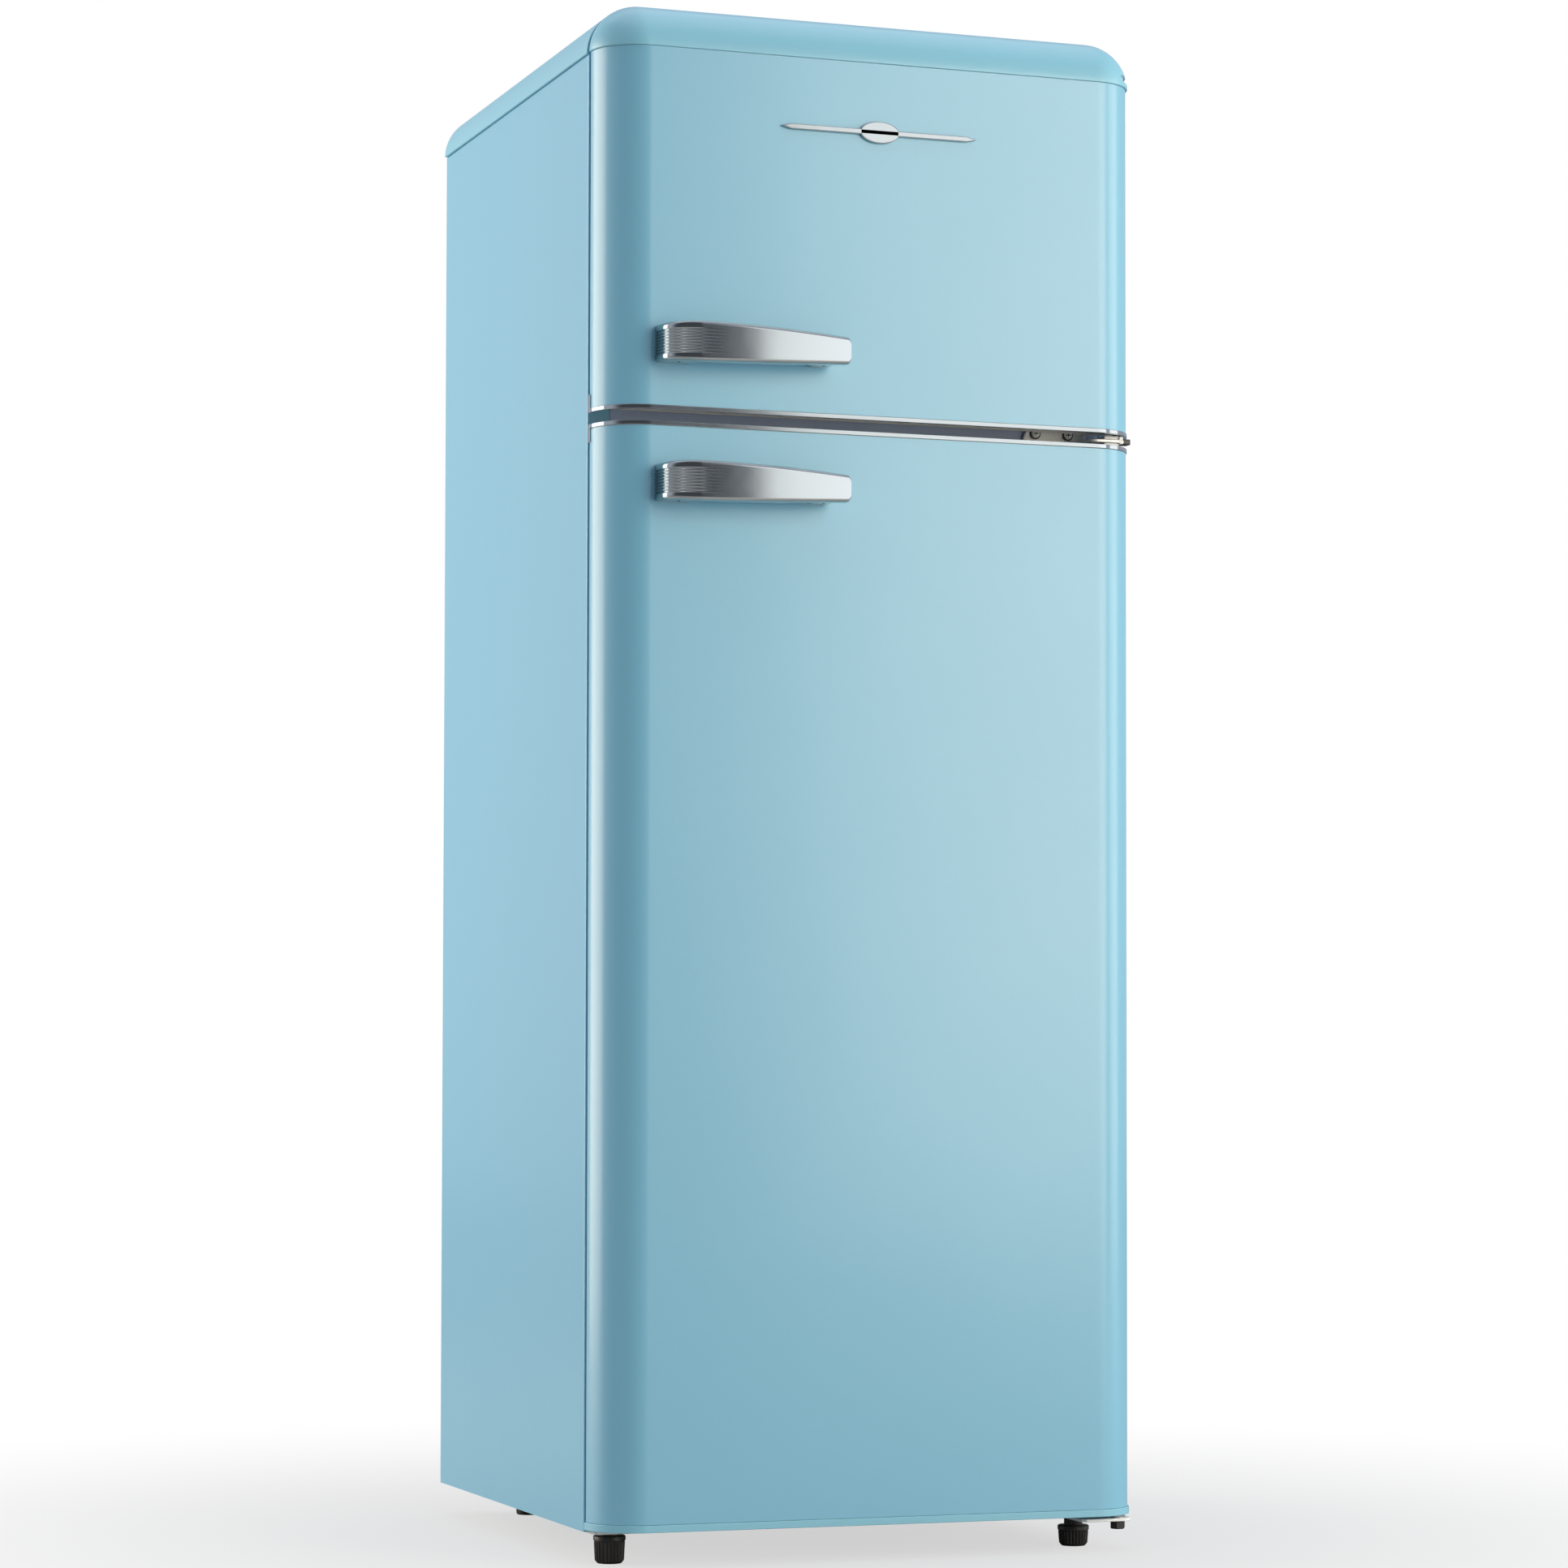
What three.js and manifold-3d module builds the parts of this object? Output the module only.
// A two-door top freezer refrigerator with retro bar handles, as an assembly of named parts.
// Millimetres. X runs to the right, Y to the back and Z up; the origin is on the floor, in the
// middle of the footprint.
import * as THREE from 'three';
import { mergeVertices } from 'three/addons/utils/BufferGeometryUtils.js';
import Module from 'manifold-3d';

const wasm = await Module();
wasm.setup();

// ---------------------------------------------------------------- driving sizes
// Overall
const WIDTH = 550;
const DEPTH = 615;
const HEIGHT = 1468;
const GAP = 0.3; // between pieces that touch
const ARC_STEPS = 5; // segments in a rounded corner

// Outer skins
const CAP_PROUD = 2; // plastic caps stand proud of the sheet sides by this
const CAP_PROUD_FRONT = 0.6;
const CORNER = 46; // rounded front corners of the doors, and the rounded top
const SHEET = 1.2;
const DOOR_SHEET = 1;
const PLASTIC = 2.4;
const LINER = 1.6;

// Front to back
const HANDLE_PROJECTION = 37.5;
const DOOR_SKIN_DEPTH = 46.5;
const SEAM = 7.5;
const CONDENSER_STANDOFF = 11.5;

// Bottom to top
const SIDE_BOTTOM = 31.3;
const CAP_HEIGHT = 45;
const FRIDGE_DOOR_BOTTOM = 34;
const BOTTOM_CAP_HEIGHT = 7;
const FREEZER_DOOR_HEIGHT = 388;
const DOOR_GAP = 11;
const RIM_HEIGHT = 4;
const RIM_WIDTH = 3;
const CAP_RECESS = 12; // the doors' facing end caps sit this far behind their chrome rims

// Cabinet front
const FLANGE_WIDTH = 43;
const CROSSRAIL_HEIGHT = 68;
const CROSSRAIL_DEPTH = 25;
const CROSSRAIL_INSET = 22;
const TOP_FLANGE = 19;

// Insulated spaces
const FREEZER_WALL = 62;
const FRIDGE_WALL = 47;
const LINER_LIP = 1;
const FREEZER_DEPTH = 406;
const FRIDGE_DEPTH = 441;
const FRIDGE_FLOOR = 84;
const NICHE_FRONT = 311; // from the cabinet front to the compressor niche
const NICHE_HEIGHT = 190;
const HUMP_WALL = 25; // insulation in front of the niche
const HUMP_RISE = 44; // insulation above the niche
const BASE_PANEL = 58; // height of the base panel in front of the niche
const BACK_RECESS = 12;

// Door inner side
const GASKET_WIDTH = 16;
const GASKET_INSET = 23; // from the skin side to the gasket
const DIKE_WIDTH = 18;
const DIKE_CLEARANCE = 14; // from the cabinet liner to a dike
const DIKE_DEPTH = 54;
const RACK_DEPTH = 92;
const RACK_WALL = 2.5;

// Hinges
const HINGE_INSET = 19; // pin from the cap side
const HINGE_SETBACK = 21; // pin from the door front
const PIN_RADIUS = 4;
const PIN_CLEARANCE = 0.5;
const HINGE_PLATE = 3;

// Feet
const FOOT_PLATE_UNDERSIDE = 28;
const FOOT_TRAVEL = 12;
const FOOT_SETBACK = 69; // behind the door front

// Handles
const HANDLE_LEFT = 51; // from the cap side to the handle's wrapped end
const HANDLE_LENGTH = 184;
const HANDLE_TALL = 37;
const HANDLE_TIP = 24.5;
const HANDLE_ABOVE_RIM = 61; // freezer handle centre above the freezer door's lower edge
const HANDLE_BELOW_RIM = 58.5; // fridge handle centre below the fridge door's upper edge
const HANDLE_BAR = 13;

// Emblem
const EMBLEM_LENGTH = 200;
const EMBLEM_HEIGHT = 22;
const EMBLEM_THICKNESS = 3;
const EMBLEM_BELOW_CAP = 67;

// Inside the fridge
const SHELF_DEPTH = 315;
const SHELF_THICKNESS = 9;
const SHELF_CLEARANCE = 1;
const SHELF_LEVELS = [746, 556, 366]; // above the fridge floor
const CRISPER_COVER_LEVEL = 216;
const CRISPER_HEIGHT = 196;
const CRISPER_DEPTH = 160;
const CRISPER_WALL = 2.5;
const SLIDE_CLEARANCE = 2;
const FREEZER_SHELF_LEVEL = 148;
const FREEZER_SHELF_DEPTH = 330;
const SHELF_GLASS = 4;
const SHELF_EDGE = 10;
const LEDGE_WIDTH = 9;
const LEDGE_HEIGHT = 8;
const CRISPER_GRIP = 120;
const CRISPER_GRIP_DEPTH = 12;
const FREEZER_RACK_HEIGHT = 55;
const FREEZER_RACK_DEPTH = 66;
const FRIDGE_RACKS = [['bottle', 30, 95], ['middle', 330, 70], ['upper', 640, 70]];

// Door tops and travel
const DOOR_SWING = 100; // degrees
const DOME_FLAT = 0.5; // upright edge left under the rounded top
const CAP_POCKET = 12; // solid plastic around the top pin
const BOTTOM_CAP_WALL = 3;

// ---------------------------------------------------------------- places worked out from them
const CAP_SIDE = WIDTH / 2;
const SIDE = CAP_SIDE - CAP_PROUD;
const DOOR_FRONT = -DEPTH / 2 + HANDLE_PROJECTION;
const DOOR_REAR = DOOR_FRONT + DOOR_SKIN_DEPTH;
const CABINET_FRONT = DOOR_REAR + SEAM;
const CABINET_REAR = DEPTH / 2 - CONDENSER_STANDOFF;
const BACK_FACE = CABINET_REAR - BACK_RECESS;
const COVER_BOTTOM = HEIGHT - CAP_HEIGHT;
const FREEZER_DOOR_BOTTOM = HEIGHT - FREEZER_DOOR_HEIGHT;
const FRIDGE_DOOR_TOP = FREEZER_DOOR_BOTTOM - DOOR_GAP;
const CROSSRAIL_MIDDLE = (FREEZER_DOOR_BOTTOM + FRIDGE_DOOR_TOP) / 2;
const CROSSRAIL_BOTTOM = CROSSRAIL_MIDDLE - CROSSRAIL_HEIGHT / 2;
const CROSSRAIL_TOP = CROSSRAIL_MIDDLE + CROSSRAIL_HEIGHT / 2;
const HINGE_X = CAP_SIDE - HINGE_INSET;
const HINGE_Y = DOOR_FRONT + HINGE_SETBACK;
const FREEZER_SIDE = CAP_SIDE - FREEZER_WALL;
const FRIDGE_SIDE = CAP_SIDE - FRIDGE_WALL;
const FREEZER_FLOOR = CROSSRAIL_TOP + LINER_LIP + LINER;
const FREEZER_CEILING = COVER_BOTTOM - TOP_FLANGE - LINER_LIP - LINER;
const FRIDGE_CEILING = CROSSRAIL_BOTTOM - LINER_LIP - LINER;
const NICHE_Y = CABINET_FRONT + NICHE_FRONT;
const NICHE_TOP = SIDE_BOTTOM + NICHE_HEIGHT;
const FRIDGE_BACK = CABINET_FRONT + FRIDGE_DEPTH;
const FREEZER_BACK = CABINET_FRONT + FREEZER_DEPTH;
const HUMP_Y = NICHE_Y - HUMP_WALL;
const HUMP_TOP = NICHE_TOP + HUMP_RISE;
const SHELF_FRONT = FRIDGE_BACK - SHELF_DEPTH;

// ---------------------------------------------------------------- shape tools
function solid(geometry) {
  const bare = geometry.index ? geometry.toNonIndexed() : geometry.clone();
  bare.deleteAttribute('normal');
  bare.deleteAttribute('uv');
  const merged = mergeVertices(bare, 1e-4);
  return new wasm.Manifold(new wasm.Mesh({
    numProp: 3,
    vertProperties: new Float32Array(merged.attributes.position.array),
    triVerts: new Uint32Array(merged.index.array),
  }));
}

function geometryOf(body) {
  const { numProp, vertProperties, triVerts } = body.getMesh();
  const geometry = new THREE.BufferGeometry();
  const count = vertProperties.length / numProp;
  const positions = new Float32Array(count * 3);
  for (let i = 0; i < count; i += 1) {
    for (let k = 0; k < 3; k += 1) positions[i * 3 + k] = vertProperties[i * numProp + k];
  }
  geometry.setAttribute('position', new THREE.BufferAttribute(positions, 3));
  geometry.setIndex(Array.from(triVerts));
  geometry.computeVertexNormals();
  return geometry;
}

const join = (first, ...others) => others.reduce((sum, next) => sum.add(next), first);
const cut = (first, ...others) => others.reduce((rest, next) => rest.subtract(next), first);
const middle = (range) => (range[0] + range[1]) / 2;
const length = (range) => range[1] - range[0];
const around = (centre, halfWidth) => [centre - halfWidth, centre + halfWidth];
const grow = (range, amount) => [range[0] - amount, range[1] + amount];

// A box from its three ranges.
function box(x, y, z) {
  const geometry = new THREE.BoxGeometry(length(x), length(y), length(z));
  geometry.translate(middle(x), middle(y), middle(z));
  return solid(geometry);
}

// An extruded outline: plan outlines rise along Z, front outlines (x, z) run along Y and side
// outlines (y, z) run along X.
function extrude(shape, depth, matrix) {
  const geometry = new THREE.ExtrudeGeometry(shape, {
    depth, bevelEnabled: false, curveSegments: ARC_STEPS,
  });
  return solid(geometry.applyMatrix4(matrix));
}
const X_AXIS = new THREE.Vector3(1, 0, 0);
const Y_AXIS = new THREE.Vector3(0, 1, 0);
const Z_AXIS = new THREE.Vector3(0, 0, 1);
const plan = (shape, z) => extrude(shape, length(z), new THREE.Matrix4().makeTranslation(0, 0, z[0]));
const front = (shape, y) => extrude(shape, length(y), new THREE.Matrix4()
  .makeBasis(X_AXIS, Z_AXIS, Y_AXIS.clone().negate()).setPosition(0, y[1], 0));
const side = (shape, x) => extrude(shape, length(x), new THREE.Matrix4()
  .makeBasis(Y_AXIS, Z_AXIS, X_AXIS).setPosition(x[0], 0, 0));

// An upright cylinder or cone; sides is its number of facets.
function rod(x, y, z, radius, sides = 20, topRadius = radius) {
  const geometry = new THREE.CylinderGeometry(topRadius, radius, length(z), sides);
  geometry.rotateX(Math.PI / 2);
  geometry.translate(x, y, middle(z));
  return solid(geometry);
}

// A rectangle whose corners are rounded; radii run anticlockwise from the lower left corner.
function rounded(x, y, radii) {
  const list = Array.isArray(radii) ? radii : [radii, radii, radii, radii];
  const points = list.flatMap((r, i) => {
    const right = i === 1 || i === 2;
    const upper = i > 1;
    const cx = right ? x[1] - r : x[0] + r;
    const cy = upper ? y[1] - r : y[0] + r;
    const steps = r > 0 ? ARC_STEPS : 0;
    return Array.from({ length: steps + 1 }, (_, k) => {
      const angle = Math.PI * (1 + i / 2 + (steps ? k / steps / 2 : 0));
      return [cx + r * Math.cos(angle), cy + r * Math.sin(angle)];
    });
  });
  return outline(points);
}

// A closed outline through listed corners.
function outline(points) {
  return new THREE.Shape(points.map(([a, b]) => new THREE.Vector2(a, b)));
}

// A path through corner points with rounded bends, stepped only where it bends.
class BentPath extends THREE.Curve {
  constructor(corners, radius, bendSteps) {
    super();
    this.points = [corners[0]];
    for (let i = 1; i < corners.length - 1; i += 1) {
      const into = corners[i - 1].clone().sub(corners[i]).normalize();
      const out = corners[i + 1].clone().sub(corners[i]).normalize();
      const half = into.angleTo(out) / 2;
      const reach = radius / Math.tan(half);
      const start = corners[i].clone().addScaledVector(into, reach);
      const end = corners[i].clone().addScaledVector(out, reach);
      const arm = into.clone().add(out).normalize();
      const centre = corners[i].clone().addScaledVector(arm, radius / Math.sin(half));
      const from = start.sub(centre);
      const turn = new THREE.Vector3().crossVectors(from, end.sub(centre)).normalize();
      for (let k = 0; k <= bendSteps; k += 1) {
        const angle = (Math.PI - 2 * half) * (k / bendSteps);
        this.points.push(from.clone().applyAxisAngle(turn, angle).add(centre));
      }
    }
    this.points.push(corners[corners.length - 1]);
  }

  getPoint(t) {
    const place = t * (this.points.length - 1);
    const i = Math.min(Math.floor(place), this.points.length - 2);
    return this.points[i].clone().lerp(this.points[i + 1], place - i);
  }

  getUtoTmapping(u) {
    return u;
  }
}

function tube(path, radius, sides) {
  const section = new THREE.Shape();
  for (let i = 0; i < sides; i += 1) {
    const angle = (i / sides) * Math.PI * 2;
    const point = [radius * Math.cos(angle), radius * Math.sin(angle)];
    if (i === 0) section.moveTo(...point);
    else section.lineTo(...point);
  }
  return solid(new THREE.ExtrudeGeometry(section, {
    steps: path.points.length - 1, bevelEnabled: false, extrudePath: path,
  }));
}

// ---------------------------------------------------------------- materials and the group
const group = new THREE.Group();
const paint = (color, roughness, metalness) => (
  new THREE.MeshStandardMaterial({ color, roughness, metalness })
);
const BLUE = '#9cc6d6';
const LOOKS = {
  bluePaint: () => paint(BLUE, 0.3, 0.1),
  bluePlastic: () => paint(BLUE, 0.35, 0),
  railPaint: () => paint('#54657f', 0.45, 0.2),
  chrome: () => paint('#dfe3e6', 0.1, 1),
  zinc: () => paint('#c3c7c9', 0.35, 0.9),
  whitePlastic: () => paint('#f1f3f3', 0.35, 0),
  greyPlastic: () => paint('#aeb4b8', 0.5, 0),
  blackPlastic: () => paint('#2a2226', 0.5, 0),
  blackSteel: () => paint('#1d1e20', 0.45, 0.4),
  gasket: () => paint('#c9ced1', 0.7, 0),
  foam: () => paint('#e6d9a8', 0.9, 0),
  glass: () => paint('#cfe4e2', 0.1, 0),
  clearPlastic: () => paint('#dbe8ee', 0.2, 0),
  copper: () => paint('#b2693f', 0.3, 0.9),
  aluminium: () => paint('#b9bec2', 0.4, 0.9),
};

function add(name, look, body) {
  const mesh = new THREE.Mesh(geometryOf(body), LOOKS[look]());
  mesh.name = name;
  group.add(mesh);
}

// ---------------------------------------------------------------- cabinet shell
const WHOLE_Y = [CABINET_FRONT, CABINET_REAR];
const FLANGE_EDGE = SIDE - FLANGE_WIDTH;
const RAIL_SIDE = SIDE - CROSSRAIL_INSET;
const REAR_FOLD = 16;

function cabinetShell() {
  const outer = box([-SIDE, SIDE], WHOLE_Y, [SIDE_BOTTOM, COVER_BOTTOM - GAP]);
  const room = box(
    [-SIDE + SHEET, SIDE - SHEET],
    [CABINET_FRONT + SHEET, CABINET_REAR - SHEET],
    [SIDE_BOTTOM - SHEET, COVER_BOTTOM - GAP - SHEET],
  );
  const frontOpening = box(
    [-FLANGE_EDGE, FLANGE_EDGE],
    around(CABINET_FRONT, 2 * SHEET),
    [SIDE_BOTTOM - SHEET, COVER_BOTTOM - TOP_FLANGE],
  );
  const crossrailNotch = box(
    [-RAIL_SIDE - GAP, RAIL_SIDE + GAP],
    around(CABINET_FRONT, 2 * SHEET),
    [CROSSRAIL_BOTTOM - GAP, CROSSRAIL_TOP + GAP],
  );
  const rearOpening = box(
    [-SIDE + REAR_FOLD, SIDE - REAR_FOLD],
    around(CABINET_REAR, 2 * SHEET),
    [SIDE_BOTTOM - SHEET, COVER_BOTTOM - REAR_FOLD],
  );
  return cut(outer, room, frontOpening, crossrailNotch, rearOpening);
}
add('cabinet_shell', 'bluePaint', cabinetShell());

const INNER_SIDE = SIDE - SHEET - GAP;
const SHELL_CEILING = COVER_BOTTOM - 2 * GAP - SHEET;
add('back_panel', 'zinc', box(
  [-INNER_SIDE, INNER_SIDE],
  [BACK_FACE, BACK_FACE + SHEET],
  [NICHE_TOP, SHELL_CEILING],
));

// The base panel runs flat under the fridge space, up the niche's front and over its top.
const PANEL_BACK = BACK_FACE - GAP;
const PANEL_FRONT = CABINET_FRONT + SHEET + GAP;
add('base_panel', 'zinc', side(outline([
  [PANEL_FRONT, BASE_PANEL], [NICHE_Y, BASE_PANEL], [NICHE_Y, NICHE_TOP], [PANEL_BACK, NICHE_TOP],
  [PANEL_BACK, NICHE_TOP + SHEET], [NICHE_Y - SHEET, NICHE_TOP + SHEET],
  [NICHE_Y - SHEET, BASE_PANEL + SHEET], [PANEL_FRONT, BASE_PANEL + SHEET],
]), [-INNER_SIDE, INNER_SIDE]));

// A front channel: a plate with lips running back along its edges.
function channel(x, z, depth, lips) {
  const plate = box(x, [CABINET_FRONT, CABINET_FRONT + SHEET], z);
  const back = [CABINET_FRONT, CABINET_FRONT + depth];
  const pieces = [];
  if (lips.includes('top')) pieces.push(box(x, back, [z[1] - SHEET, z[1]]));
  if (lips.includes('bottom')) pieces.push(box(x, back, [z[0], z[0] + SHEET]));
  return join(plate, ...pieces);
}
const crossrailZ = [CROSSRAIL_BOTTOM, CROSSRAIL_TOP];
add('crossrail', 'railPaint', channel([-RAIL_SIDE, RAIL_SIDE], crossrailZ, CROSSRAIL_DEPTH,
  ['top', 'bottom']));

// ---------------------------------------------------------------- feet
const FOOT_Y = DOOR_FRONT + FOOT_SETBACK;
const LEFT_FOOT_INSET = 30;
const RIGHT_FOOT_INSET = 43;
const LEFT_FOOT_X = -SIDE + LEFT_FOOT_INSET;
const RIGHT_FOOT_X = SIDE - RIGHT_FOOT_INSET;
const STUD_RADIUS = 4;
const STUD_TOP = BASE_PANEL - 2;
const FOOT_PLATE_TOP = FOOT_PLATE_UNDERSIDE + HINGE_PLATE;
const studHole = (x, z) => rod(x, FOOT_Y, z, STUD_RADIUS + PIN_CLEARANCE);

const RAIL_LIP = 46;
const RAIL_EDGE = FLANGE_EDGE - GAP;
function bottomRail() {
  const z = [FOOT_PLATE_TOP + GAP, FRIDGE_FLOOR - LINER - GAP];
  const rail = channel([-RAIL_EDGE, RAIL_EDGE], z, RAIL_LIP, ['bottom']);
  const wings = [-1, 1].map((hand) => box(
    [hand * RAIL_EDGE, hand * INNER_SIDE].sort((a, b) => a - b),
    [PANEL_FRONT, CABINET_FRONT + RAIL_LIP],
    [z[0], z[0] + SHEET],
  ));
  const holeZ = grow([z[0], z[0] + SHEET], 1);
  return cut(join(rail, ...wings), studHole(LEFT_FOOT_X, holeZ), studHole(RIGHT_FOOT_X, holeZ));
}
add('bottom_rail', 'railPaint', bottomRail());

const FOOT_BRACKET = 40;
add('left_foot_bracket', 'zinc', cut(
  box(
    around(LEFT_FOOT_X, FOOT_BRACKET / 2),
    [CABINET_FRONT, CABINET_FRONT + RAIL_LIP],
    [FOOT_PLATE_UNDERSIDE, FOOT_PLATE_TOP],
  ),
  studHole(LEFT_FOOT_X, grow([FOOT_PLATE_UNDERSIDE, FOOT_PLATE_TOP], 1)),
));

// The left cap reaches its bracket; the right one is shorter, with a neck above it.
const FOOT_RADIUS = 15.3;
const FOOT_SOLE = 12.8;
function frontFoot(x, capHeight, neckRadius) {
  const top = FOOT_PLATE_UNDERSIDE - GAP;
  const cap = rod(x, FOOT_Y, [0, capHeight], FOOT_SOLE, 24, FOOT_RADIUS);
  const neck = rod(x, FOOT_Y, [capHeight - 1, top], neckRadius);
  const stud = rod(x, FOOT_Y, [top - 1, STUD_TOP], STUD_RADIUS);
  return join(cap, neck, stud);
}
add('front_foot_left', 'blackPlastic', frontFoot(LEFT_FOOT_X, FOOT_PLATE_UNDERSIDE - 2, 11));
add('front_foot_right', 'blackPlastic', frontFoot(RIGHT_FOOT_X, 20, 9));

const TRAY_TOP = SIDE_BOTTOM + SHEET;
const REAR_FOOT_INSET = 85;
const REAR_FOOT_Y = CABINET_REAR - 46;
for (const [name, hand] of [['rear_foot_left', -1], ['rear_foot_right', 1]]) {
  const x = hand * (CAP_SIDE - REAR_FOOT_INSET);
  add(name, 'blackPlastic', rod(x, REAR_FOOT_Y, [0, SIDE_BOTTOM - GAP], FOOT_SOLE, 20, FOOT_RADIUS));
}

// ---------------------------------------------------------------- compressor niche
const TRAY_LIP = BASE_PANEL - SIDE_BOTTOM - GAP; // reaches the base panel's lower edge
const GLAND_RADIUS = 5.5;
const GLAND_LENGTH = 18;
const trayY = [NICHE_Y + GAP, CABINET_REAR - SHEET - GAP];
const GLAND_INSET = 150;
const glandX = -SIDE + GLAND_INSET;
const glandZ = TRAY_TOP + TRAY_LIP / 2;
function alongY(radius, y, sides = 16) {
  const geometry = new THREE.CylinderGeometry(radius, radius, length(y), sides);
  geometry.translate(0, middle(y), 0);
  return solid(geometry);
}
// The cord's gland passes through the tray's rear lip.
const gland = (radius, y) => alongY(radius, y).translate(glandX, 0, glandZ);
add('compressor_tray', 'zinc', cut(side(outline([
  [trayY[0], SIDE_BOTTOM + TRAY_LIP], [trayY[0], SIDE_BOTTOM], [trayY[1], SIDE_BOTTOM],
  [trayY[1], SIDE_BOTTOM + TRAY_LIP], [trayY[1] - SHEET, SIDE_BOTTOM + TRAY_LIP],
  [trayY[1] - SHEET, TRAY_TOP], [trayY[0] + SHEET, TRAY_TOP],
  [trayY[0] + SHEET, SIDE_BOTTOM + TRAY_LIP],
]), [-INNER_SIDE, INNER_SIDE]), gland(GLAND_RADIUS + GAP, around(trayY[1], 2 * SHEET))));
const glandY = around(trayY[1], GLAND_LENGTH / 2);
add('cord_gland', 'blackPlastic', cut(
  gland(GLAND_RADIUS, glandY),
  gland(GLAND_RADIUS - 2.2, grow(glandY, 1)),
));

const COMPRESSOR_RADIUS = 72;
const COMPRESSOR_HEIGHT = 138;
const GROMMET_HEIGHT = 10;
const COMPRESSOR_INSET = 130;
const compressorX = SIDE - COMPRESSOR_INSET;
const compressorY = middle(trayY);
const compressorZ = TRAY_TOP + GAP + GROMMET_HEIGHT;
function compressor() {
  const r = COMPRESSOR_RADIUS;
  const h = COMPRESSOR_HEIGHT;
  const round = r * 0.45;
  const profile = [
    [0, 0], [r - round, 0], [r - round * 0.3, round * 0.3], [r, round],
    [r, h - round * 1.4], [r - round * 0.3, h - round * 0.55], [r - round, h], [0, h],
  ].map(([a, b]) => new THREE.Vector2(a, b));
  const pot = new THREE.LatheGeometry(profile, 24);
  pot.rotateX(Math.PI / 2);
  pot.translate(compressorX, compressorY, compressorZ);
  const feetX = around(compressorX, r + 24);
  const feetY = around(compressorY, r * 0.6);
  const feet = box(feetX, feetY, [compressorZ, compressorZ + 3]);
  const grommets = feetX.flatMap((x) => feetY.map((y) => rod(
    x + Math.sign(compressorX - x) * 9,
    y + Math.sign(compressorY - y) * 9,
    [TRAY_TOP + GAP, compressorZ + 1],
    7,
    10,
  )));
  return join(solid(pot), feet, ...grommets);
}
add('compressor', 'blackSteel', compressor());

const RELAY = 38;
const relayX = compressorX - COMPRESSOR_RADIUS - GAP;
add('relay_box', 'blackPlastic', box(
  [relayX - RELAY, relayX],
  around(compressorY, RELAY / 2),
  [compressorZ + COMPRESSOR_HEIGHT / 2 - RELAY / 2, compressorZ + COMPRESSOR_HEIGHT / 2 + RELAY],
));

const DRIP_WALL = 2;
const dripZ = [compressorZ + COMPRESSOR_HEIGHT + GAP, compressorZ + COMPRESSOR_HEIGHT + 24];
const dripX = around(compressorX, 85);
const dripY = around(compressorY, 74);
add('drip_tray', 'greyPlastic', cut(
  box(dripX, dripY, dripZ),
  box(grow(dripX, -DRIP_WALL), grow(dripY, -DRIP_WALL), [dripZ[0] + DRIP_WALL, dripZ[1] + 1]),
));

const DRIER_RADIUS = 9;
const PIPE_RADIUS = 3;
const DRIER_INSET = 90;
const drierX = -SIDE + DRIER_INSET;
const pipeCorners = (points) => points.map((point) => new THREE.Vector3(...point));
function filterDrier() {
  const z = [TRAY_TOP + 40, TRAY_TOP + 140];
  const body = rod(drierX, compressorY, z, DRIER_RADIUS, 12);
  const pipe = tube(new BentPath(pipeCorners([
    [drierX, compressorY, z[0] + 2],
    [drierX, compressorY, TRAY_TOP + 14],
    [drierX + 110, compressorY, TRAY_TOP + 14],
    [drierX + 110, compressorY, NICHE_TOP - 1],
  ]), 8, 4), PIPE_RADIUS, 8);
  return join(body, pipe);
}
add('filter_drier', 'copper', filterDrier());

const SUCTION_REACH = 20;
const suctionX = compressorX + COMPRESSOR_RADIUS + SUCTION_REACH;
add('suction_pipe', 'copper', tube(new BentPath(pipeCorners([
  [compressorX + COMPRESSOR_RADIUS + GAP, compressorY, compressorZ + COMPRESSOR_HEIGHT / 2],
  [suctionX, compressorY, compressorZ + COMPRESSOR_HEIGHT / 2],
  [suctionX, compressorY, NICHE_TOP - 1],
]), 8, 4), PIPE_RADIUS, 8));

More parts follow.
